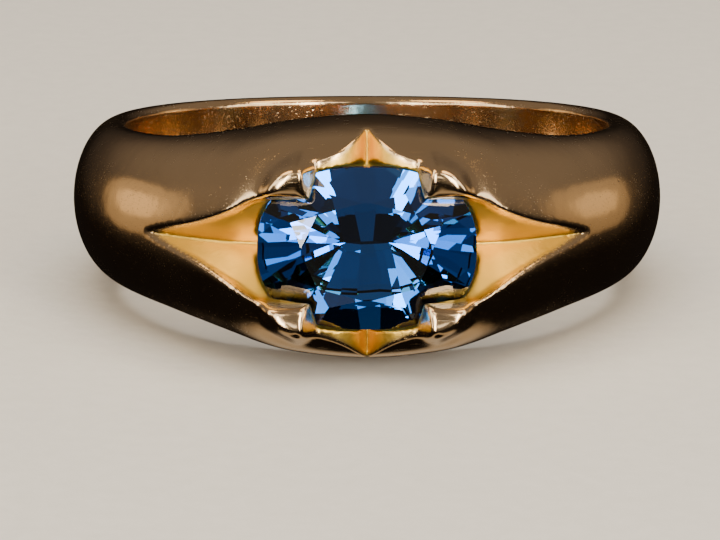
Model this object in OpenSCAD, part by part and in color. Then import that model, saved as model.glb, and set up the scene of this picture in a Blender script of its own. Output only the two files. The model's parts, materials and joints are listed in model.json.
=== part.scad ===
// Sapphire ring: an oval mixed-cut stone held by four claws that are carved out of a tapering gold band.
// Lengths are millimetres and angles are degrees. The ring lies on its side, with its head towards -Y.

/* [Finger hole] */
// Inside diameter of the ring
bore_d = 18.7; // [17:0.1:21]
// Radius of the softened edge between the finger hole and the rim
rim_round = 0.3; // [0.2:0.05:0.4]

/* [Stone] */
// Length of the stone, along the band
stone_l = 8; // [7.4:0.1:8.2]
// Width of the stone, across the band
stone_w = 6; // [5.6:0.1:6.1]
// Height of the crown, from the girdle to the table
crown_h = 0.75; // [0.6:0.05:0.85]
// Thickness of the girdle
girdle_h = 0.25; // [0.2:0.05:0.3]
// Depth of the pavilion, from the girdle to the keel
pavilion_h = 2.6; // [2.4:0.05:2.8]
// Size of the table, as a share of the girdle
table_share = 0.6; // [0.54:0.01:0.64]
// Half length of the keel along the bottom of the stone
keel = 0.8; // [0.5:0.1:1.2]

/* [Setting] */
// Gap left between the keel of the stone and the finger hole
keel_clear = 0.4; // [0.3:0.05:0.6]
// Half length of the stone that shows between the claws on its long sides
claw_x = 1.85; // [1.7:0.05:2.1]
// Half width of the stone that shows between the claws at its ends
claw_y = 1.8; // [1.65:0.05:1.9]
// Gap between the stone and the wall of its seat
seat_gap = 0.12; // [0.08:0.01:0.15]

/* [Scoops] */
// Height of a scoop's flank above its valley line
flank_h = 1.4; // [1.2:0.05:1.5]
// Distance over which a flank levels off
flank_run = 0.75; // [0.6:0.05:0.9]

/* [Hidden] */

// Sections round the band: angle from the head, width, thickness, and the two handles that shape the curve
// from the crest to the rim. The handles are shares of the half width and of the rise from rim to crest.
SECTIONS = [
    [0, 9.1, 4.3, 0.85, 0.95, 0.6],
    [14, 8.7, 4.55, 0.85, 0.95, 0.6],
    [20, 8.33, 4.35, 0.78, 0.95, 0.6],
    [28, 7.75, 3.65, 0.66, 0.95, 0.6],
    [38, 7.1, 3, 0.56, 0.96, 0.58],
    [50, 6.5, 2.5, 0.52, 0.98, 0.56],
    [70, 6.05, 2.15, 0.52, 1, 0.55],
    [100, 5.8, 2, 0.55, 1, 0.55],
    [180, 5, 1.7, 0.55, 1, 0.55],
];
ANGLE = 0;
WIDTH = 1;
THICK = 2;
CREST_HANDLE = 3;
RIM_HANDLE = 4;
RIM_RISE = 5;

// A scoop in a shoulder: distance from the stone's middle, depth of the valley below the girdle, half width.
SHOULDER_SCOOP = [
    [0, 0.9, claw_y],
    [3.9, 1.12, claw_y],
    [4.35, 1.22, 1.62],
    [5, 1.42, 1.22],
    [6.1, 2.05, 0.7],
    [7, 2.7, 0.4],
    [7.8, 3.3, 0.2],
    [8.4, 3.8, 0.15],
    [9.2, 4.5, 0.15],
];
// A scoop in an edge of the band, in the same columns.
EDGE_SCOOP = [
    [0, 0.75, claw_x],
    [2.95, 0.95, claw_x],
    [3.2, 1, 1.8],
    [3.5, 1.04, 1.3],
    [3.75, 1.08, 0.7],
    [4, 1.12, 0.25],
    [4.3, 1.15, 0.15],
    [4.8, 1.2, 0.15],
];
ALONG = 0;
DEPTH = 1;
HALF = 2;

// Corners of the raised top of one claw, where X and Y are positive, with their heights above the girdle.
CLAW_TOP = [[2.25, 2, 0.98], [3.9, 2.15, 0.93], [3.15, 2.75, 1.12], [2.6, 3.05, 1.15], [2.3, 3, 1.1]];

bore_r = bore_d / 2;
rim_r = bore_r + rim_round;
girdle_r = bore_r + keel_clear + pavilion_h + girdle_h / 2;
clear_of = 6;

function row_at(table, at, i = 0) =
    i >= len(table) - 2 || at < table[i + 1][0] ? i : row_at(table, at, i + 1);
function slope(table, column, i) = i == 0 || i == len(table) - 1
    ? 0
    : (table[i + 1][column] - table[i - 1][column]) / (table[i + 1][0] - table[i - 1][0]);
// A smooth curve through one column of a table, level at both ends.
function smooth(table, column, at) = let (
    i = row_at(table, at),
    run = table[i + 1][0] - table[i][0],
    t = (at - table[i][0]) / run
) table[i][column] * (1 + 2 * t) * pow(1 - t, 2)
    + table[i + 1][column] * t * t * (3 - 2 * t)
    + run * slope(table, column, i) * t * pow(1 - t, 2)
    - run * slope(table, column, i + 1) * t * t * (1 - t);
function bezier(a, b, c, d, t) =
    a * pow(1 - t, 3) + 3 * b * t * pow(1 - t, 2) + 3 * c * t * t * (1 - t) + d * pow(t, 3);
function reach(angle) = bore_r + smooth(SECTIONS, THICK, angle);

crown_steps = 10;
inside = 0.8;
past = 0.06;
// Upper half of the band's section, as [radius, height]: the curve from the crest to the rim, the rounded
// rim, and a wall that stands inside the finger hole.
function half_section(angle) = let (
    w = smooth(SECTIONS, WIDTH, angle) / 2,
    crest = reach(angle),
    from_crest = [crest, w * smooth(SECTIONS, CREST_HANDLE, angle)],
    rise = (crest - rim_r) * smooth(SECTIONS, RIM_RISE, angle),
    from_rim = [rim_r + rise, w * smooth(SECTIONS, RIM_HANDLE, angle)],
    rim_c = [rim_r, w - rim_round]
) concat(
    [for (i = [0:crown_steps]) bezier([crest, 0], from_crest, from_rim, [rim_r, w], i / crown_steps)],
    [for (a = [120, 150]) rim_c + rim_round * [cos(a), sin(a)]],
    [for (r = [bore_r - past, bore_r - inside]) [r, rim_c.y - past]]
);
function section(angle) = let (half = half_section(angle), n = len(half)) concat(
    [for (i = [n - 1:-1:1]) [half[i].x, -half[i].y]],
    half
);

// A closed skin over equal loops of points, either joined end to end or capped.
module skin(loops, joined = false) {
    n = len(loops);
    m = len(loops[0]);
    sides = [
        for (i = [0:n - (joined ? 1 : 2)], j = [0:m - 1])
            [i * m + j, i * m + (j + 1) % m, (i + 1) % n * m + (j + 1) % m, (i + 1) % n * m + j]
    ];
    caps = joined ? [] : [[for (j = [m - 1:-1:0]) j], [for (j = [0:m - 1]) (n - 1) * m + j]];
    polyhedron([for (loop = loops) each loop], concat(sides, caps), convexity = 10);
}

half_turn_steps = 44;
bunching = 1.4;
// The uncarved band, with its finger hole still too small. Its sections lie closest together at the head.
module blank() {
    angles = [
        for (i = [-half_turn_steps:half_turn_steps - 1])
            sign(i) * 180 * pow(abs(i) / half_turn_steps, bunching)
    ];
    skin([for (a = angles) [for (p = section(abs(a))) [p.x * sin(a), -p.x * cos(a), p.y]]], joined = true);
}

// Places what is drawn with the middle of the girdle at the origin, the stone's length along X and its
// table up.
module on_head() {
    translate([0, -girdle_r, 0]) rotate([90, 0, 0]) children();
}

claw_middle = [2.8, 2.6];
claw_flare = 0.75;
claw_root_z = -0.4;
// The raised tops of the four claws. They slope inwards to the stone, and widen towards their roots.
module claw_tops() {
    roots = [
        for (p = CLAW_TOP) let (out = [p.x, p.y] - claw_middle)
            lift([p.x, p.y] + claw_flare * out / norm(out), claw_root_z)
    ];
    points = concat(CLAW_TOP, roots);
    for (x = [-1, 1], y = [-1, 1]) scale([x, y, 1])
        hull() polyhedron(points, [[for (i = [0:len(points) - 1]) i]]);
}

fullness = 2.4;
function outline_point(t, share = 1) = share * [
    stone_l / 2 * sign(cos(t)) * pow(abs(cos(t)), 2 / fullness),
    stone_w / 2 * sign(sin(t)) * pow(abs(sin(t)), 2 / fullness)
];
function outline(share = 1) = [for (t = [3.75:7.5:360]) outline_point(t, share)];

flank_steps = 6;
wall_h = 1;
wall_run = 0.3;
// One scoop, cut down to a valley line that runs outwards along X between two claws.
// Its flanks rise steeply and level off, and walls that lean outwards close it at its half width.
module scoop(rows) {
    function flank(y) = flank_h * (1 - exp(-y / flank_run));
    function half_loop(half) = concat(
        [for (i = [0:flank_steps]) let (y = half * pow(i / flank_steps, 1.5)) [y, flank(y)]],
        [[half + wall_run, flank(half) + wall_h], [half + 2 * wall_run, clear_of]]
    );
    skin([
        for (row = rows) let (half = half_loop(row[HALF]), n = len(half)) [
            for (i = [n - 1:-1:1]) [row[ALONG], half[i].x, half[i].y - row[DEPTH]],
            for (i = [0:n - 1]) [row[ALONG], -half[i].x, half[i].y - row[DEPTH]]
        ]
    ]);
}

// The room round the stone between the claws, and the hole under it down to the finger hole.
module pocket() {
    floor_z = -0.8;
    claw_round = 0.25;
    claw_inset = claw_round - 0.03;
    translate([0, 0, floor_z]) linear_extrude(clear_of) difference() {
        offset(seat_gap) polygon(outline());
        for (x = [-1, 1], y = [-1, 1]) scale([x, y])
            offset(claw_round, $fn = 24) translate([claw_x, claw_y] + claw_inset * [1, 1]) square(clear_of);
    }
    hull() {
        translate([0, 0, -0.3]) linear_extrude(0.01) polygon(outline(0.9));
        translate([0, 0, -pavilion_h - 1]) linear_extrude(0.01) polygon(outline(0.5));
    }
}

seat_scale = 1.02;
// The band in one piece: a blank with raised claws, carved for the stone and by four scoops between them.
// It is set to its outside width before the finger hole is bored.
module band() {
    color("goldenrod") lay_down() difference() {
        resize([2 * reach(90), 0, 0]) difference() {
            union() {
                blank();
                on_head() claw_tops();
            }
            on_head() {
                pocket();
                scale(seat_scale) stone();
                for (turn = [0, 180]) rotate(turn) {
                    scoop(SHOULDER_SCOOP);
                    rotate(90) scoop(EDGE_SCOOP);
                }
            }
        }
        cylinder(h = 20, r = bore_r, center = true, $fn = 180);
    }
}

main_step = 45;
half_step = main_step / 2;
table_z = girdle_h / 2 + crown_h;
star_z = girdle_h / 2 + 0.66 * crown_h;
main_z = -girdle_h / 2 - 0.72 * pavilion_h;
keel_z = -girdle_h / 2 - pavilion_h;

function lift(p, z) = [p.x, p.y, z];
// Point of height z on the line where two planes meet, each given by a point and a normal.
function meet(p, n, q, m, z) = let (
    d = n * p - n.z * z,
    e = m * q - m.z * z,
    det = n.x * m.y - n.y * m.x
) [(d * m.y - e * n.y) / det, (n.x * e - m.x * d) / det, z];
// Height of the plane through three points above the point p.
function height_over(p, a, b, c) = let (n = cross(b - a, c - a))
    a.z - (n.x * (p.x - a.x) + n.y * (p.y - a.y)) / n.z;

function tangent(t) = lift(outline_point(t + 0.5) - outline_point(t - 0.5), 0);
function girdle_at(t, side) = lift(outline_point(t), side * girdle_h / 2);
function table_corner(t) = lift(outline_point(t, table_share), table_z);
function keel_end(t) = [abs(cos(t)) < 0.1 ? 0 : sign(cos(t)) * keel, 0, keel_z];
function bezel_normal(t) = cross(tangent(t), table_corner(t) - girdle_at(t, 1));
function main_normal(t) = cross(tangent(t), keel_end(t) - girdle_at(t, -1));
// Point of a star facet, where the bezel facets at t and after it meet.
function star_tip(t) = let (u = t + main_step)
    meet(girdle_at(t, 1), bezel_normal(t), girdle_at(u, 1), bezel_normal(u), star_z);
// Point of the lower girdle facets, where the pavilion mains at t and after it meet.
function main_tip(t) = let (u = t + main_step)
    meet(girdle_at(t, -1), main_normal(t), girdle_at(u, -1), main_normal(u), main_z);
// Edge of the girdle at t, on the girdle facet that covers it: it dips in the middle of each facet.
function girdle_edge(t, side) = let (
    from = half_step * floor(t / half_step),
    main = main_step * floor(t / main_step),
    tip = side > 0 ? star_tip(main) : main_tip(main),
    p = outline_point(t)
) lift(p, height_over(p, tip, girdle_at(from, side), girdle_at(from + half_step, side)));

// The stone: table, star, bezel and upper girdle facets above, lower girdle facets and mains below.
module stone() {
    points = [
        for (t = [0:main_step:359]) each [table_corner(t), star_tip(t), main_tip(t)],
        for (t = [0:half_step / 3:359]) each [girdle_edge(t, 1), girdle_edge(t, -1)],
        for (x = [-keel, keel]) [x, 0, keel_z],
    ];
    hull() polyhedron(points, [[for (i = [0:len(points) - 1]) i]]);
}

module sapphire() {
    color("mediumblue") lay_down() on_head() stone();
}

head_half = smooth(SECTIONS, WIDTH, 0) / 2;
back_half = smooth(SECTIONS, WIDTH, 180) / 2;
tilt = atan((head_half - back_half) / (2 * rim_r));

// Lays the ring down on the lowest points of its head and of its back, centred over the origin.
module lay_down() {
    translate([0, (reach(0) - reach(180)) / 2, head_half * cos(tilt) - rim_r * sin(tilt)])
        rotate([-tilt, 0, 0]) children();
}

band();
sapphire();
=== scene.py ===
"""A broad gold ring with an oval sapphire, lying on its side on a plain pale floor.

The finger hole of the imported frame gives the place, tilt and radius that the gold is built round.
Everything is shaped in millimetres in the ring's own frame, where the hole runs along Z and the head
faces -Y, and is then laid down in metres where the frame's ring lies.
"""

import json
import math

import bpy

from mathutils import Matrix, Vector


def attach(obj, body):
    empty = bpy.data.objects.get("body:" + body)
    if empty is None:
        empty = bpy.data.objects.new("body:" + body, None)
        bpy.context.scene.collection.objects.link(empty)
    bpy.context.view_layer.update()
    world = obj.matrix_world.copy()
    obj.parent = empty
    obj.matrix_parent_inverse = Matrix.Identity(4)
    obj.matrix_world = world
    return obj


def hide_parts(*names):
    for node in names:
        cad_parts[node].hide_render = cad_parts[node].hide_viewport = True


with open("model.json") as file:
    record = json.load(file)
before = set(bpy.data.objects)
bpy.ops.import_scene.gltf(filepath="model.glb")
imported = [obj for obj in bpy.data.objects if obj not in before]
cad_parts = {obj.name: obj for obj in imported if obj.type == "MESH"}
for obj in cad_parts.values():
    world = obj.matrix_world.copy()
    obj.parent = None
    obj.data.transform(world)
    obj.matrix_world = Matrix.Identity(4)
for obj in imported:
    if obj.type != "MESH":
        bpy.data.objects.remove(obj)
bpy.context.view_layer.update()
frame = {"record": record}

MM = 0.001
hole = next(m for m in frame["record"]["mounts"] if m["name"] == "finger_hole")
BORE_R = hole["dims"]["r_mm"]
HOLE_AXIS = Vector(hole["axis"])
HOLE_PLACE = Vector(hole["pos_m"])
LAY_DOWN = (
    Matrix.Translation(HOLE_PLACE)
    @ Vector((0, 0, 1)).rotation_difference(HOLE_AXIS).to_matrix().to_4x4()
    @ Matrix.Scale(MM, 4)
)

# The stone and its seat, in millimetres from the middle of the girdle. The outline is fuller than an
# ellipse, where FULLNESS would be 2. A share is a share of that outline, or of the crown's height.
STONE_L, STONE_W = 8.0, 6.0
GIRDLE_H, CROWN_H, PAVILION_H = 0.25, 0.75, 2.6
FULLNESS = 2.4
TABLE_SHARE = 0.6
BREAK_SHARE, BREAK_RISE = 0.8, 0.62
HALF_KEEL = 0.8
KEEL_CLEAR = 0.4
POCKET_GAP, SEAT_GAP = 0.07, 0.06
CLAW_X, CLAW_Y = 1.85, 1.8
GIRDLE_R = BORE_R + KEEL_CLEAR + PAVILION_H + GIRDLE_H / 2
RIM_ROUND = 0.3
RIM_R = BORE_R + RIM_ROUND

# Sections round the band: angle from the head, width, thickness, and the handles of the curve from crest
# to rim, as shares of the half width and of the rise from rim to crest.
SECTIONS = [
    (0, 9.1, 4.3, 0.85, 0.95, 0.6),
    (14, 8.7, 4.55, 0.85, 0.95, 0.6),
    (20, 8.33, 4.35, 0.78, 0.95, 0.6),
    (28, 7.75, 3.65, 0.66, 0.95, 0.6),
    (38, 7.1, 3.0, 0.56, 0.96, 0.58),
    (50, 6.5, 2.5, 0.52, 0.98, 0.56),
    (70, 6.05, 2.15, 0.52, 1.0, 0.55),
    (100, 5.8, 2.0, 0.55, 1.0, 0.55),
    (180, 5.0, 1.7, 0.55, 1.0, 0.55),
]
WIDTH, THICK, CREST_HANDLE, RIM_HANDLE, RIM_RISE = range(1, 6)

# Scoops: distance from the stone's middle, depth of the valley below the girdle, half width.
SHOULDER_SCOOP = [
    (0, 0.9, 1.6),
    (3.9, 1.12, CLAW_Y),
    (4.35, 1.22, 1.62),
    (5, 1.42, 1.22),
    (6.1, 2.05, 0.7),
    (7, 2.7, 0.4),
    (7.8, 3.3, 0.2),
    (8.4, 3.8, 0.1),
    (9.2, 4.5, 0.1),
]
EDGE_SCOOP = [
    (0, 0.75, CLAW_X),
    (2.95, 0.95, CLAW_X),
    (3.2, 1.0, 1.8),
    (3.5, 1.04, 1.3),
    (3.75, 1.08, 0.7),
    (4, 1.12, 0.25),
    (4.3, 1.15, 0.1),
    (4.8, 1.2, 0.1),
]
DEPTH, HALF = 1, 2

# Their cross-sections: height and run of the flanks, then height and run of the walls above them.
SHOULDER_FLANKS = (2.2, 2.0, 0.75, 0.27)
EDGE_FLANKS = (1.4, 0.54, 0.7, 0.45)

# Cutters end this far above the girdle, clear of the metal.
CLEAR_OF = 6.0
ROUGH_VOXEL, FINE_VOXEL = 0.1, 0.06
MOST_TRIANGLES = 190000
HOLLOW = "Hollow"

# Top of one claw: its corners in the quarter of the head where X and Y are positive, with their heights.
CLAW_TOP = [(2.2, 1.95, 1.2), (3.8, 2.1, 1.15), (3.2, 2.8, 1.38), (2.65, 3.1, 1.42), (2.25, 3.05, 1.35)]


def smooth(table, column, at):
    """A smooth curve through one column of a table, level at both ends."""
    i = next((n for n in range(len(table) - 2) if at < table[n + 1][0]), len(table) - 2)
    run = table[i + 1][0] - table[i][0]
    t = (at - table[i][0]) / run

    def slope(n):
        if n in (0, len(table) - 1):
            return 0
        return (table[n + 1][column] - table[n - 1][column]) / (table[n + 1][0] - table[n - 1][0])

    return (
        table[i][column] * (1 + 2 * t) * (1 - t) ** 2
        + table[i + 1][column] * t * t * (3 - 2 * t)
        + run * slope(i) * t * (1 - t) ** 2
        - run * slope(i + 1) * t * t * (1 - t)
    )


def deselect():
    if bpy.context.mode != "OBJECT":
        bpy.ops.object.mode_set(mode="OBJECT")
    bpy.ops.object.select_all(action="DESELECT")


def pick(*objects):
    deselect()
    for o in objects:
        o.select_set(True)
    bpy.context.view_layer.objects.active = objects[0]


def modify(piece, kind, **settings):
    """Adds a modifier and applies it."""
    pick(piece)
    modifier = piece.modifiers.new(kind.title(), kind)
    for name, value in settings.items():
        setattr(modifier, name, value)
    bpy.ops.object.modifier_apply(modifier=modifier.name)


def soften(piece, weight, turns):
    """Smooths a mesh where weight, a function of a vertex's place, is above nothing."""
    group = piece.vertex_groups.new(name="Soft")
    for vertex in piece.data.vertices:
        share = weight(vertex.co)
        if share > 0:
            group.add([vertex.index], share, "REPLACE")
    modify(piece, "SMOOTH", factor=0.5, iterations=turns, vertex_group=group.name)
    piece.vertex_groups.clear()


def cut(piece, *cutters):
    for cutter in cutters:
        modify(piece, "BOOLEAN", operation="DIFFERENCE", object=cutter, solver="MANIFOLD")
        bpy.data.objects.remove(cutter)


def outline_point(t, share=1.0):
    """A point of the stone's outline, a rounded oval, or of one that is share times as large."""
    c, s = math.cos(t), math.sin(t)
    return Vector((
        share * STONE_L / 2 * math.copysign(abs(c) ** (2 / FULLNESS), c),
        share * STONE_W / 2 * math.copysign(abs(s) ** (2 / FULLNESS), s),
        0,
    ))


def outline(share, grow, height, steps=96):
    loop = []
    for i in range(steps):
        p = outline_point(2 * math.pi * (i + 0.5) / steps, share)
        loop.append(p + p.normalized() * grow + Vector((0, 0, height)))
    return loop


def loft(name, loops, joined=False):
    """Draws each loop as a closed line, and bridges them in turn into one closed skin."""
    rings = []
    for loop in loops:
        bpy.ops.mesh.primitive_circle_add(vertices=len(loop))
        ring = bpy.context.object
        ring.data.vertices.foreach_set("co", [x for p in loop for x in p])
        rings.append(ring)
    pick(*rings)
    bpy.ops.object.join()
    piece = bpy.context.object
    piece.name = name
    bpy.ops.object.mode_set(mode="EDIT")
    bpy.ops.mesh.select_all(action="SELECT")
    bpy.ops.mesh.bridge_edge_loops(type="CLOSED" if joined else "SINGLE")
    if not joined:
        bpy.ops.mesh.select_all(action="DESELECT")
        bpy.ops.mesh.select_non_manifold()
        bpy.ops.mesh.fill_holes(sides=0)
    bpy.ops.mesh.select_all(action="SELECT")
    bpy.ops.mesh.normals_make_consistent(inside=False)
    bpy.ops.object.mode_set(mode="OBJECT")
    return piece


def on_head(piece):
    """Turns what is drawn round the girdle to its place on the head, with the stone's table towards -Y."""
    piece.data.transform(Matrix.Translation((0, -GIRDLE_R, 0)) @ Matrix.Rotation(math.pi / 2, 4, "X"))
    return piece


def bezier(a, b, c, d, t):
    return a * (1 - t) ** 3 + b * 3 * t * (1 - t) ** 2 + c * 3 * t * t * (1 - t) + d * t**3


def section(angle):
    """One D-shaped section of the uncarved band, as points (radius, height)."""
    w = smooth(SECTIONS, WIDTH, angle) / 2
    crest = BORE_R + smooth(SECTIONS, THICK, angle)
    rise = (crest - RIM_R) * smooth(SECTIONS, RIM_RISE, angle)
    ends = (
        Vector((crest, 0)),
        Vector((crest, w * smooth(SECTIONS, CREST_HANDLE, angle))),
        Vector((RIM_R + rise, w * smooth(SECTIONS, RIM_HANDLE, angle))),
        Vector((RIM_R, w)),
    )
    crown_steps, rim_steps, inside = 40, 6, 0.8
    half = [bezier(*ends, i / crown_steps) for i in range(crown_steps)]
    for i in range(rim_steps + 1):
        a = math.radians(90 + 90 * i / rim_steps)
        half.append(Vector((RIM_R + RIM_ROUND * math.cos(a), w - RIM_ROUND + RIM_ROUND * math.sin(a))))
    half.append(Vector((BORE_R - inside, w - RIM_ROUND)))
    return [Vector((p.x, -p.y)) for p in reversed(half[1:])] + half


def blank():
    """The uncarved band, with a finger hole that is still too small."""
    steps = 180
    loops = []
    for i in range(steps):
        turn = 360 * i / steps - 180
        a = math.radians(turn)
        loops.append([Vector((p.x * math.sin(a), -p.x * math.cos(a), p.y)) for p in section(abs(turn))])
    return loft("Band", loops, joined=True)


def scoop(rows, turn, flank_h, flank_run, wall_h, wall_run):
    """A cutter with a valley line along X, flanks that rise steeply and level off, and walls that lean out."""
    length_steps, flank_steps = 48, 16
    loops = []
    for i in range(length_steps + 1):
        along = rows[-1][0] * i / length_steps
        depth, half = smooth(rows, DEPTH, along), smooth(rows, HALF, along)
        side = []
        for n in range(flank_steps + 1):
            y = half * (n / flank_steps) ** 1.5
            side.append((y, flank_h * (1 - math.exp(-y / flank_run)) - depth))
        side.append((half + wall_run, side[-1][1] + wall_h))
        side.append((half + wall_run * 1.5, CLEAR_OF))
        other_side = [(-y, z) for y, z in reversed(side[1:])]
        loops.append([Vector((along, y, z)) for y, z in other_side + side])
    cutter = loft("Scoop", loops)
    cutter.data.transform(Matrix.Rotation(math.radians(turn), 4, "Z"))
    return on_head(cutter)


def claw_tops():
    """The raised tops of the claws: they slope inwards to the stone, and their outer edges are rolled."""
    root_z, flare, roll = -0.4, 0.75, 0.2
    corners = [Vector(p) for p in CLAW_TOP]
    middle = sum(corners, Vector()) / len(corners)
    root = [Vector((*(p + (p - middle).xy.normalized().to_3d() * flare).xy, root_z)) for p in corners]
    tops = []
    for across, along in ((1, 1), (-1, 1), (-1, -1), (1, -1)):
        mirrored = Matrix.Diagonal((across, along, 1))
        top = loft("Claw_top", [[mirrored @ p for p in root], [mirrored @ p for p in corners]])
        modify(top, "BEVEL", width=roll, segments=4, limit_method="ANGLE", angle_limit=math.radians(20))
        tops.append(on_head(top))
    return tops


def claw_blocks():
    """Four square blocks with rounded edges that stand where the claws stay."""
    claw_round = 0.25
    blocks = []
    for sx in (-1, 1):
        for sy in (-1, 1):
            bpy.ops.mesh.primitive_cube_add(size=1)
            block = bpy.context.object
            block.data.transform(Matrix.Diagonal((CLEAR_OF, CLEAR_OF, 3 * CLEAR_OF, 1)))
            block.data.transform(Matrix.Translation((CLAW_X + CLEAR_OF / 2, CLAW_Y + CLEAR_OF / 2, 0)))
            modify(block, "BEVEL", width=claw_round, segments=6, limit_method="ANGLE")
            block.data.transform(Matrix.Diagonal((sx, sy, 1, 1)))
            bpy.ops.object.mode_set(mode="EDIT")
            bpy.ops.mesh.select_all(action="SELECT")
            bpy.ops.mesh.normals_make_consistent(inside=False)
            bpy.ops.object.mode_set(mode="OBJECT")
            blocks.append(block)
    return blocks


def pocket():
    """The room round the stone between the claws."""
    floor_z = -0.8
    room = loft("Pocket", [outline(1, POCKET_GAP, z) for z in (floor_z, CLEAR_OF)])
    cut(room, *claw_blocks())
    return on_head(room)


def seat():
    """The bed under the stone's crown and pavilion, and the hole below it down to the finger hole."""
    top, bottom = GIRDLE_H / 2, -GIRDLE_H / 2
    keel_z = bottom - PAVILION_H
    stations = [
        (0.2, keel_z - 0.5),
        (0.55, keel_z * 0.62),
        (1, bottom),
        (1, top),
        (BREAK_SHARE, top + BREAK_RISE * CROWN_H + SEAT_GAP),
        (TABLE_SHARE, top + CROWN_H + SEAT_GAP),
    ]
    return on_head(loft("Seat", [outline(share, SEAT_GAP, z) for share, z in stations]))


def light_hole():
    """The open hole behind the stone, which lets light in from the finger hole."""
    return on_head(loft("Light_hole", [outline(0.5, 0, -PAVILION_H - 1.2), outline(0.9, 0, -0.3)]))


def bore():
    bpy.ops.mesh.primitive_cylinder_add(vertices=360, radius=BORE_R, depth=20)
    return bpy.context.object


def ramp(low, high, x):
    """0 up to low, 1 from high on, and a smooth step between them."""
    t = min(1.0, max(0.0, (x - low) / (high - low)))
    return t * t * (3 - 2 * t)


def over_head(place):
    """1 on the crest of the head, where the claws blend into the band, and 0 further down."""
    return ramp(-1.8, -0.8, -place.y - GIRDLE_R) * ramp(-6.5, -5.5, -abs(place.x))


def over_claws(place):
    """1 on the tops of the claws and 0 round them."""
    return (
        ramp(0.1, 0.4, -place.y - GIRDLE_R)
        * ramp(CLAW_X - 0.25, CLAW_X - 0.05, abs(place.x))
        * ramp(-4.6, -4.2, -abs(place.x))
        * ramp(CLAW_Y, CLAW_Y + 0.2, abs(place.z))
    )


def in_valley(place):
    """1 along the valley lines of the two shoulder scoops and 0 beside them."""
    return ramp(3.9, 4.3, abs(place.x)) * ramp(-0.6, -0.15, -abs(place.z)) * ramp(6, 7, -place.y)


def over_shoulders(place):
    """1 round the edges of the two shoulder scoops, which are rolled soft, and 0 at their valley lines."""
    return ramp(3.9, 4.5, abs(place.x)) * ramp(0.15, 0.4, abs(place.z)) * ramp(4.5, 5.5, -place.y)


def uncarved_radius(half, height):
    """Radius of the uncarved band at a height above or below its middle, from half of a section."""
    i = next((n for n in range(1, len(half)) if half[n].y > abs(height)), len(half) - 1)
    a, b = half[i - 1], half[i]
    return a.x + (b.x - a.x) * min(1.0, (abs(height) - a.y) / max(b.y - a.y, 1e-6))


def mark_hollows(piece):
    """Marks with 1 what was carved out of the head, and the rest with 0. The carved places are left rougher,
    where no polishing mop reaches, and the gold there is painted a deeper yellow for the light that bounces
    between the walls of the hollows.
    """
    shank_starts = -6
    upper_halves = []
    for angle in range(91):
        points = section(angle)
        upper_halves.append(points[len(points) // 2:])
    shares = []
    for vertex in piece.data.vertices:
        x, y, z = vertex.co
        if y > shank_starts:
            shares.append(0.0)
            continue
        radius = math.hypot(x, y)
        angle = round(abs(math.degrees(math.atan2(x, -y))))
        depth = uncarved_radius(upper_halves[angle], z) - radius
        shares.append(ramp(0.05, 0.25, depth) * ramp(BORE_R + 0.1, BORE_R + 0.4, radius))
    piece.data.attributes.new(HOLLOW, "FLOAT", "POINT").data.foreach_set("value", shares)


def band():
    """The gold in one piece: the blank gets its claws, is carved and rubbed smooth, and is laid down."""
    piece = blank()
    for top in claw_tops():
        modify(piece, "BOOLEAN", operation="UNION", object=top, solver="MANIFOLD")
        bpy.data.objects.remove(top)
    modify(piece, "REMESH", mode="VOXEL", voxel_size=ROUGH_VOXEL)
    soften(piece, over_head, 28)
    cut(piece, pocket(), seat(), light_hole())
    cut(piece, *[scoop(SHOULDER_SCOOP, turn, *SHOULDER_FLANKS) for turn in (0, 180)])
    cut(piece, *[scoop(EDGE_SCOOP, turn, *EDGE_FLANKS) for turn in (90, 270)])
    cut(piece, bore())
    modify(piece, "REMESH", mode="VOXEL", voxel_size=FINE_VOXEL, use_smooth_shade=True)
    modify(piece, "SMOOTH", factor=0.5, iterations=12)
    soften(piece, over_claws, 24)
    soften(piece, over_shoulders, 30)
    soften(piece, in_valley, 16)
    # The smoothing moves metal towards the stone, so the seat is cut once more.
    cut(piece, seat())
    modify(piece, "TRIANGULATE")
    modify(piece, "DECIMATE", ratio=MOST_TRIANGLES / len(piece.data.polygons))
    mark_hollows(piece)
    piece.data.transform(LAY_DOWN)
    piece.name = "Gold_band"
    return piece


def facet(stone, place, normal):
    """Grinds one flat facet: what lies outside the plane is cut away, and the cut is closed."""
    pick(stone)
    bpy.ops.object.mode_set(mode="EDIT")
    bpy.ops.mesh.select_all(action="SELECT")
    bpy.ops.mesh.bisect(plane_co=place, plane_no=normal, clear_outer=True, use_fill=True)
    bpy.ops.object.mode_set(mode="OBJECT")


def inwards(t, share):
    """A point of the outline drawn in to a share of its way from the near end of the keel."""
    end = Vector((math.copysign(HALF_KEEL, math.cos(t)), 0, 0))
    return end + (outline_point(t) - end) * share


def facet_row(stone, angles, start, stop, place=outline_point):
    """A row of facets round the stone, each through two points given as a share and a height."""
    for angle in angles:
        t = math.radians(angle)
        outer = place(t, start[0]) + Vector((0, 0, start[1]))
        inner = place(t, stop[0]) + Vector((0, 0, stop[1]))
        along = outline_point(t + 0.01) - outline_point(t - 0.01)
        normal = along.cross(inner - outer)
        if normal.dot(outer) < 0:
            normal.negate()
        facet(stone, outer, normal)


def evenly(count, start=0.0):
    """Angles evenly round the stone."""
    return [start + 360 * i / count for i in range(count)]


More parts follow.
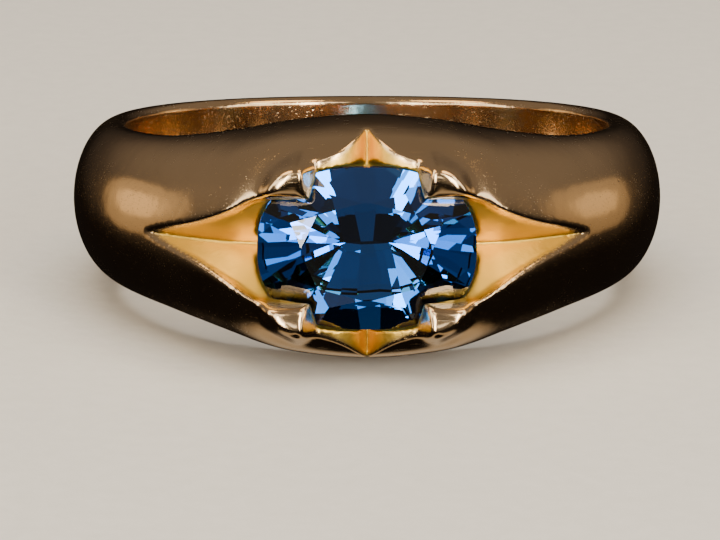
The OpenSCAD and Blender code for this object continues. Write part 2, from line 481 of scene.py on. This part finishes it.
def sapphire():
    """The stone, ground from an oval blank: table, crown, and three tiers of facets down to a keel."""
    top, bottom = GIRDLE_H / 2, -GIRDLE_H / 2
    stone = loft("Sapphire", [outline(1, 0, z) for z in (bottom - PAVILION_H, top + CROWN_H)])
    table = (TABLE_SHARE, top + CROWN_H)
    facet_row(stone, evenly(8), (1, top), table)
    facet_row(stone, evenly(16, 11.25), (1, top), (BREAK_SHARE, top + BREAK_RISE * CROWN_H))
    facet_row(stone, evenly(8, 22.5), (0.7, top + 0.82 * CROWN_H), (0.56, top + CROWN_H))
    tiers = [(1, bottom), (0.7, bottom - 0.305 * PAVILION_H), (0.36, bottom - 0.645 * PAVILION_H)]
    facet_row(stone, evenly(16, 11.25), tiers[0], tiers[1], inwards)
    facet_row(stone, evenly(16, 5.6), tiers[1], tiers[2], inwards)
    facet_row(stone, evenly(16, 11.25), tiers[2], (0, bottom - PAVILION_H), inwards)
    on_head(stone)
    stone.data.transform(LAY_DOWN)
    stone.name = "Oval_sapphire"
    return stone


def colour(code):
    """An sRGB hex value as a linear colour."""
    parts = [int(code[i:i + 2], 16) / 255 for i in (1, 3, 5)]
    return [x / 12.92 if x <= 0.04045 else ((x + 0.055) / 1.055) ** 2.4 for x in parts] + [1]


def emptied(made):
    """Clears the node tree of a new material or world."""
    made.use_nodes = True
    made.node_tree.nodes.clear()
    return made


def node(made, kind, settings=None, **inputs):
    """Adds a node with its settings. Its inputs are values, outputs, or nodes for their first output."""
    added = made.node_tree.nodes.new("ShaderNode" + kind)
    for name, value in (settings or {}).items():
        setattr(added, name, value)
    for name, value in inputs.items():
        socket = added.inputs[int(name[1:]) if name[1:].isdigit() else name.replace("_", " ")]
        if isinstance(value, bpy.types.Node):
            value = value.outputs[0]
        if isinstance(value, bpy.types.NodeSocket):
            made.node_tree.links.new(value, socket)
        else:
            socket.default_value = value
    return added


RGBA = {"data_type": "RGBA"}
TIMES = {"operation": "MULTIPLY"}
PLUS = {"operation": "ADD"}
TIMES_PLUS = {"operation": "MULTIPLY_ADD"}


def per_mm(along, across=None):
    """Scale of a pattern that repeats at a length in mm along X and at another, or the same, across it."""
    across = across or along
    return 1 / (along * MM), 1 / (across * MM), 1 / (across * MM)


def polished_gold():
    """18 carat yellow gold, cast, carved and polished by hand.

    The eye sees a warm mirror that wavers a little, with hairline scratches and a few casting pits. What
    was carved is rougher and less bright, with fine lines that the graver left, and its richer yellow is
    painted light: the deeper colour of light bounced between the walls of the hollows. Real hairlines and
    graver lines are a third as wide: these are as coarse as they need to be to show.
    """
    made = emptied(bpy.data.materials.new("Polished_gold_18ct"))
    place = node(made, "TexCoord").outputs["Object"]
    hollow = node(made, "Attribute", {"attribute_name": HOLLOW}).outputs["Fac"]
    cloud = node(made, "TexNoise", Vector=place, Scale=per_mm(2.5)[0], Detail=3.0)
    waver = node(made, "TexNoise", Vector=place, Scale=per_mm(1.4)[0], Detail=2.0)
    cells = node(made, "TexVoronoi", Vector=place, Scale=per_mm(1.3)[0])
    pits = node(made, "MapRange", Value=cells, From_Min=0.02, From_Max=0.05, To_Min=1.0, To_Max=0.0)

    # Length, spacing and turn of each kind of line, and where its noise starts and ends to be one.
    kinds = [(3.0, 0.07, 15, 0.68, 0.74), (2.0, 0.06, -35, 0.7, 0.75), (1.6, 0.1, 0, 0.35, 0.65)]
    lines = []
    for length, spacing, turn, low, high in kinds:
        turned = (0, 0, math.radians(turn))
        lie = node(made, "Mapping", Vector=place, Rotation=turned, Scale=per_mm(length, spacing))
        drawn = node(made, "TexNoise", Vector=lie, Scale=1.0, Detail=1.0)
        lines.append(node(made, "MapRange", Value=drawn, From_Min=low, From_Max=high))
    scratches = node(made, "Math", PLUS, _0=lines[0], _1=lines[1])
    graver_lines = node(made, "Math", TIMES, _0=lines[2], _1=hollow)

    fresh = node(made, "Mix", RGBA, _0=cloud, _6=colour("#E4C194"), _7=colour("#ECCBA0")).outputs[2]
    # Painted reflected light: the carved hollows get a deeper yellow that stands for light bounced between
    # their walls.
    gold = node(made, "Mix", RGBA, _0=hollow, _6=fresh, _7=colour("#F5C650")).outputs[2]
    matt = node(made, "Math", TIMES_PLUS, _0=cloud, _1=0.1, _2=0.1)
    matt = node(made, "Math", TIMES_PLUS, _0=hollow, _1=0.24, _2=matt)
    matt = node(made, "Math", TIMES_PLUS, _0=scratches, _1=0.12, _2=matt)
    height = node(made, "Math", TIMES, _0=pits, _1=-0.3)
    height = node(made, "Math", TIMES_PLUS, _0=scratches, _1=-0.06, _2=height)
    height = node(made, "Math", TIMES_PLUS, _0=waver, _1=0.8, _2=height)
    height = node(made, "Math", TIMES_PLUS, _0=graver_lines, _1=0.1, _2=height)
    bump = node(made, "Bump", Strength=1.0, Distance=0.02 * MM, Height=height)
    shader = node(made, "BsdfPrincipled", Metallic=1.0, Roughness=matt, Base_Color=gold, Normal=bump)
    node(made, "OutputMaterial", Surface=shader)
    return made


def cut_sapphire():
    """Cut and polished sapphire.

    The eye sees clear corundum that takes up red and green light along its way, so that a long way through
    it is a deeper blue. Faint bands of a stronger and a weaker tint, 1.2 mm apart, are how it grew.
    """
    made = emptied(bpy.data.materials.new("Cut_sapphire"))
    place = node(made, "TexCoord").outputs["Object"]
    turned = (0, 0, math.radians(30))
    lie = node(made, "Mapping", Vector=place, Rotation=turned, Scale=(per_mm(1.2)[0], 60, 60))
    bands = node(made, "TexNoise", Vector=lie, Scale=1.0, Detail=1.0)
    tint = node(made, "Mix", RGBA, _0=bands, _6=colour("#B4CCFF"), _7=colour("#DCE8FF")).outputs[2]
    shader = node(
        made, "BsdfPrincipled", Base_Color=tint, Roughness=0.0, IOR=1.77, Transmission_Weight=1.0
    )
    inside = node(made, "VolumeAbsorption", Color=(0.0, 0.64, 0.97, 1), Density=440.0)
    node(made, "OutputMaterial", Surface=shader, Volume=inside)
    return made


def pale_floor():
    """Matt white board. The eye sees the fine grain of paper, drawn coarser than it is so that it shows."""
    made = emptied(bpy.data.materials.new("Matt_white_board"))
    place = node(made, "TexCoord").outputs["Object"]
    grain = node(made, "TexNoise", Vector=place, Scale=per_mm(0.8)[0], Detail=3.0)
    white = node(made, "Mix", RGBA, _0=grain, _6=colour("#D2D0CC"), _7=colour("#DEDCD8")).outputs[2]
    bump = node(made, "Bump", Strength=0.5, Distance=0.05 * MM, Height=grain)
    shader = node(made, "BsdfPrincipled", Base_Color=white, Roughness=0.6, Normal=bump)
    node(made, "OutputMaterial", Surface=shader)
    return made


def dress(piece, made):
    piece.data.materials.clear()
    piece.data.materials.append(made)


deselect()
gold = band()
dress(gold, polished_gold())
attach(gold, "root")
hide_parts("band")
stone = sapphire()
dress(stone, cut_sapphire())
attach(stone, "root")
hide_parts("sapphire")

# The stage: a plain floor, soft boxes and the camera.
bpy.ops.mesh.primitive_plane_add(size=1.6)
floor = bpy.context.object
floor.name = "Floor"
dress(floor, pale_floor())

HEAD = LAY_DOWN @ Vector((0, -GIRDLE_R, 0))
LAMPLIGHT, AMBER = "#FFF8EA", "#FFDCA6"


def facing_box(name, azimuth, elevation, distance, size, brightness, tone=LAMPLIGHT):
    """A round soft box that faces the ring's head. Azimuth 0 is the camera's side and 90 is the right."""
    a, e = math.radians(azimuth), math.radians(elevation)
    way = Vector((math.sin(a) * math.cos(e), -math.cos(a) * math.cos(e), math.sin(e)))
    bpy.ops.object.light_add(type="AREA", location=HEAD + way * distance)
    box = bpy.context.object
    box.name = name
    box.rotation_euler = way.to_track_quat("Z", "Y").to_euler()
    box.data.shape = "ELLIPSE"
    box.data.size, box.data.size_y = size
    box.data.energy = brightness * math.pi * size[0] * size[1]
    box.data.color = colour(tone)[:3]
    return box


# The boxes beside the ring light the gold, and the strips and sheets in front light the stone from inside.
for side, strength in ((-1, 1.0), (1, 0.75)):
    facing_box("High_box", side * 72, 57, 0.2, (0.12, 0.09), 3.0, AMBER)
    facing_box("Outer_box", side * 74, 8, 0.2, (0.045, 0.13), 2.5)
    facing_box("Wall_box", side * 67, 34, 0.2, (0.06, 0.05), 4.0)
    facing_box("Middle_box", side * 56, 16, 0.2, (0.08, 0.06), 2.6)
    facing_box("Upper_sheet", side * 25, 33, 0.2, (0.08, 0.035), 2.4)
    facing_box("Side_box", side * 115, 0, 0.16, (0.08, 0.075), 0.35 * strength, AMBER)
    facing_box("Side_core", side * 115, 1, 0.159, (0.04, 0.035), 0.5 * strength, AMBER)
facing_box("Left_strip", -26, 4, 0.2, (0.035, 0.13), 10.0)
facing_box("Left_sheet", -30, 5, 0.21, (0.1, 0.15), 2.8)
facing_box("Right_strip", 34, 12, 0.2, (0.04, 0.15), 10.0)
facing_box("Right_sheet", 37, 10, 0.21, (0.065, 0.18), 2.8)
facing_box("Lower_sheet", 0, 5, 0.2, (0.1, 0.022), 2.0)
facing_box("Front_fill", 0, 14, 0.3, (0.5, 0.32), 0.09)
panel = facing_box("Ceiling_panel", 0, 90, 0.35, (0.4, 0.4), 3.0)
# The gold and the stone mirror the dim room and not these two, as on the photograph's dark ground.
for lit_only in (panel, floor):
    lit_only.visible_glossy = lit_only.visible_transmission = False


def dim_room():
    """The room that the gold mirrors: a grey ceiling, dark walls, and a pale band low down."""
    room = emptied(bpy.data.worlds.new("Dim_room"))
    parts = node(room, "SeparateXYZ", Vector=node(room, "TexCoord").outputs["Generated"]).outputs
    sideways = node(room, "Math", {"operation": "ABSOLUTE"}, _0=parts["X"])
    upwards = node(room, "Math", TIMES_PLUS, _0=parts["Z"], _1=0.5, _2=0.5)
    share = node(room, "Math", TIMES_PLUS, _0=sideways, _1=0.3, _2=upwards)
    shade = node(room, "ValToRGB", Fac=share)
    dark, pale, dusk, grey = "#14110F", "#B8A890", "#463F39", "#80776E"
    tones = [(0.0, dark), (0.1, dark), (0.16, pale), (0.22, pale), (0.28, dark)]
    tones += [(0.56, dark), (0.74, dusk), (0.92, grey), (1.0, grey)]
    stops = shade.color_ramp.elements
    while len(stops) < len(tones):
        stops.new(0.5)
    for stop, (position, code) in zip(stops, tones):
        stop.position, stop.color = position, colour(code)
    node(room, "OutputWorld", Surface=node(room, "Background", Color=shade))
    return room


bpy.context.scene.world = dim_room()

# The camera looks at the middle of the stone from the photograph's height, and its shift puts the stone
# where the photograph has it.
CAMERA_ELEVATION = math.radians(15.8)
CAMERA_DISTANCE = 0.18
LENS = 247
PHOTO_W = 720
STONE_AT = (367, 248)
PHOTO_MIDDLE = (360, 270)
back = Vector((0, -math.cos(CAMERA_ELEVATION), math.sin(CAMERA_ELEVATION)))
bpy.ops.object.camera_add(location=HEAD + back * CAMERA_DISTANCE)
camera = bpy.context.object
camera.rotation_euler = back.to_track_quat("Z", "Y").to_euler()
camera.data.lens = LENS
camera.data.shift_x = -(STONE_AT[0] - PHOTO_MIDDLE[0]) / PHOTO_W
camera.data.shift_y = (STONE_AT[1] - PHOTO_MIDDLE[1]) / PHOTO_W
camera.data.clip_start, camera.data.clip_end = 0.01, 10
bpy.context.scene.camera = camera
